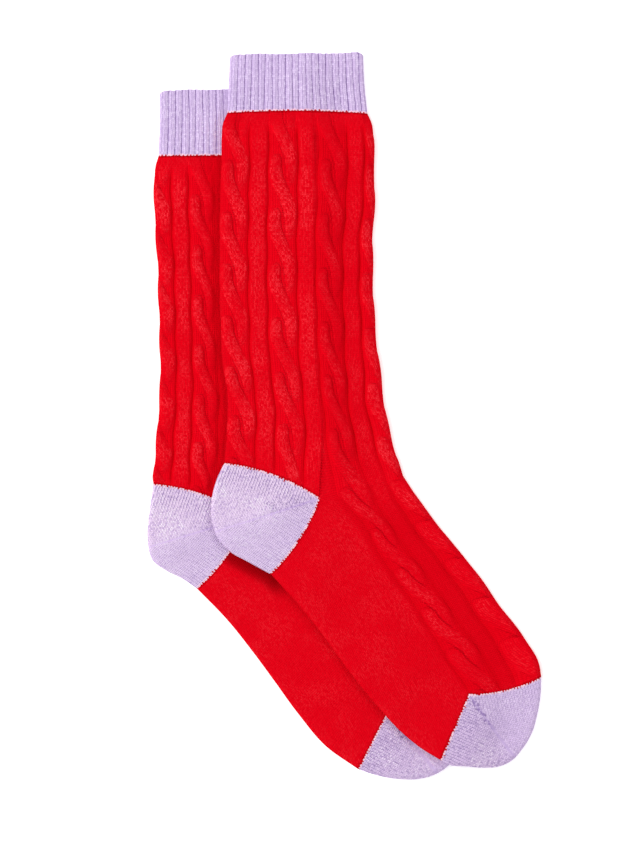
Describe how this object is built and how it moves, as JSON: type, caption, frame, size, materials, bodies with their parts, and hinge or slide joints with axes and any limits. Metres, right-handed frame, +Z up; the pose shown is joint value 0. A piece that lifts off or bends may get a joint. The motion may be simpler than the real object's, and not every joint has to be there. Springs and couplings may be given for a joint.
{
  "type": "pair of cable knit socks",
  "caption": "Long cable knit socks laid flat, one lying partly on the other, with ribbed cuffs and contrasting heels and toes.",
  "frame": {"origin": "middle of the pair's bounding box, on the surface that the socks lie on", "axes": "+Y along the legs towards the cuffs, +X towards the toes' side, +Z up from the surface"},
  "size_m": [0.2479, 0.4572, 0.0111],
  "materials": {
    "red_cable_knit": "soft brushed wool-blend knit, matte, with a light halo of fibres",
    "lilac_rib": "ribbed wool-blend knit, matte",
    "lilac_knit": "plain stocking-stitch wool-blend knit, matte"
  },
  "bodies": {
    "root": {"upper_cuff": "lilac_rib", "upper_body": "red_cable_knit", "upper_heel": "lilac_knit", "upper_toe": "lilac_knit", "lower_cuff": "lilac_rib", "lower_body": "red_cable_knit", "lower_heel": "lilac_knit", "lower_toe": "lilac_knit"}
  },
  "joints": []
}
